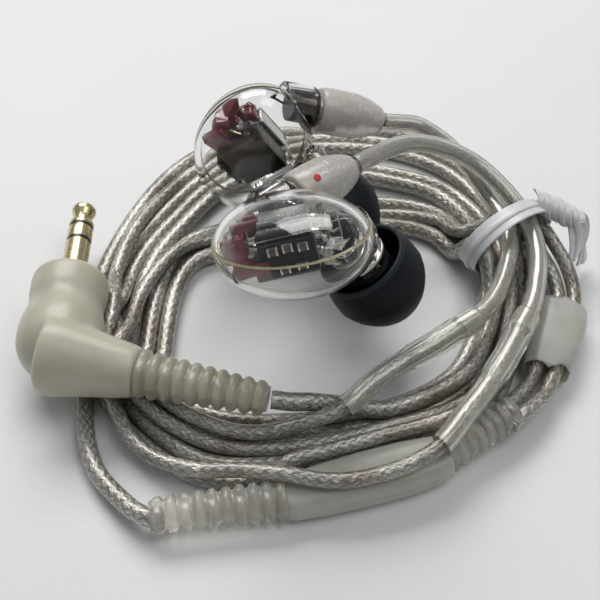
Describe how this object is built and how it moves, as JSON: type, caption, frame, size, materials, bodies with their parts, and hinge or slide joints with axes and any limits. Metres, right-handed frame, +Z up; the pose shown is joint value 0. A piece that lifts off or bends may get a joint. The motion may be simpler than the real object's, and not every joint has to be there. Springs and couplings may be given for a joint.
{
  "type": "in-ear monitors",
  "caption": "Clear-shelled in-ear monitors with rubber eartips, over-ear tubes, a coiled detachable cable tied in a loop, a splitter, a slider and a right-angle jack plug.",
  "frame": {"origin": "the point on the supporting surface under the centre of the monitors and the twist tie", "axes": "+Z up from the supporting surface, +Y away from the side the plug's relief and the splitter lie on, +X towards the twist tie"},
  "size_m": [0.0795, 0.0739, 0.0299],
  "materials": {
    "clear_shell": "clear polycarbonate",
    "gasket": "clear yellowed adhesive bead",
    "steel": "stainless",
    "can": "dark nickel-plated can",
    "can_light": "nickel-plated can",
    "red_plastic": "dark red moulded plastic",
    "board": "black circuit board with brown chips",
    "clear_part": "clear acrylic",
    "tip_rubber": "soft matte silicone, blue-black",
    "brass": "gold-plated",
    "insulator": "black",
    "milky": "translucent milky overmould",
    "cable": "clear jacket over a silver and bronze twisted conductor",
    "clear_tube": "clear tubing over the cable",
    "red_dot": "red channel mark",
    "tie": "white plastic-coated wire strip"
  },
  "bodies": {
    "harness": {"cable_coil": "cable", "plug_end_cable": "cable", "splitter_end_cable": "cable", "left_slider_cable": "cable", "right_slider_cable": "cable", "left_over_ear_tube": "clear_tube", "left_sleeve": "clear_tube", "left_branch_cable": "cable", "left_connector_plug": "brass", "left_connector_boot": "milky", "right_over_ear_tube": "clear_tube", "right_sleeve": "clear_tube", "right_branch_cable": "cable", "right_connector_plug": "brass", "right_connector_boot": "milky", "right_channel_dot": "red_dot", "plug_tip_contact": "brass", "plug_front_insulator": "insulator", "plug_ring_contact": "brass", "plug_rear_insulator": "insulator", "plug_sleeve_contact": "brass", "plug_collar": "milky", "plug_elbow": "milky", "plug_relief": "milky", "splitter_body": "milky", "splitter_main_relief": "milky", "splitter_branch_relief": "milky", "tie_band": "tie", "tie_twisted_ends": "tie"},
    "slider": {"cord_slider": "milky"},
    "right_clip": {"right_snap_ring": "steel"},
    "right_monitor": {"right_outer_shell": "clear_shell", "right_inner_shell": "clear_shell", "right_seam_gasket": "gasket", "right_connector_socket": "brass", "right_mid_driver": "can_light", "right_high_driver": "can", "right_low_driver": "can", "right_crossover_board": "board", "right_acoustic_manifold": "clear_part", "right_acoustic_filter": "red_plastic", "right_nozzle": "clear_part", "right_nozzle_collar": "steel", "right_damper": "steel"},
    "right_tip": {"right_eartip": "tip_rubber"},
    "left_clip": {"left_snap_ring": "steel"},
    "left_monitor": {"left_outer_shell": "clear_shell", "left_inner_shell": "clear_shell", "left_seam_gasket": "gasket", "left_connector_socket": "brass", "left_mid_driver": "can_light", "left_high_driver": "can", "left_low_driver": "can", "left_crossover_board": "board", "left_acoustic_manifold": "clear_part", "left_acoustic_filter": "red_plastic", "left_nozzle": "clear_part", "left_nozzle_collar": "steel", "left_damper": "steel"},
    "left_tip": {"left_eartip": "tip_rubber"}
  },
  "joints": [
    {"name": "slider_travel", "type": "slide", "parent": "harness", "child": "slider", "axis": [0.3417, 0.9398, 0], "range_m": [-0.001, 0.002]},
    {"name": "right_swivel", "type": "hinge", "parent": "harness", "child": "right_clip", "pos_m": [-0.01956, -0.00623, 0.0205], "axis": [0.765, 0.6405, -0.0675], "range_deg": [-60, 2]},
    {"name": "right_unplug", "type": "slide", "parent": "right_clip", "child": "right_monitor", "axis": [-0.765, -0.6405, 0.0675], "range_m": [0, 0.0036]},
    {"name": "right_tip_pull", "type": "slide", "parent": "right_monitor", "child": "right_tip", "axis": [0.5262, -0.0562, -0.8485], "range_m": [0, 0.0032]},
    {"name": "left_swivel", "type": "hinge", "parent": "harness", "child": "left_clip", "pos_m": [-0.0175, 0.01649, 0.02094], "axis": [0.9237, 0.1581, -0.3489], "range_deg": [-2, 3]},
    {"name": "left_unplug", "type": "slide", "parent": "left_clip", "child": "left_monitor", "axis": [-0.9237, -0.1581, 0.3489], "range_m": [0, 0.0036]},
    {"name": "left_tip_pull", "type": "slide", "parent": "left_monitor", "child": "left_tip", "axis": [0.522, -0.8273, -0.2073], "range_m": [0, 0.0032]}
  ]
}
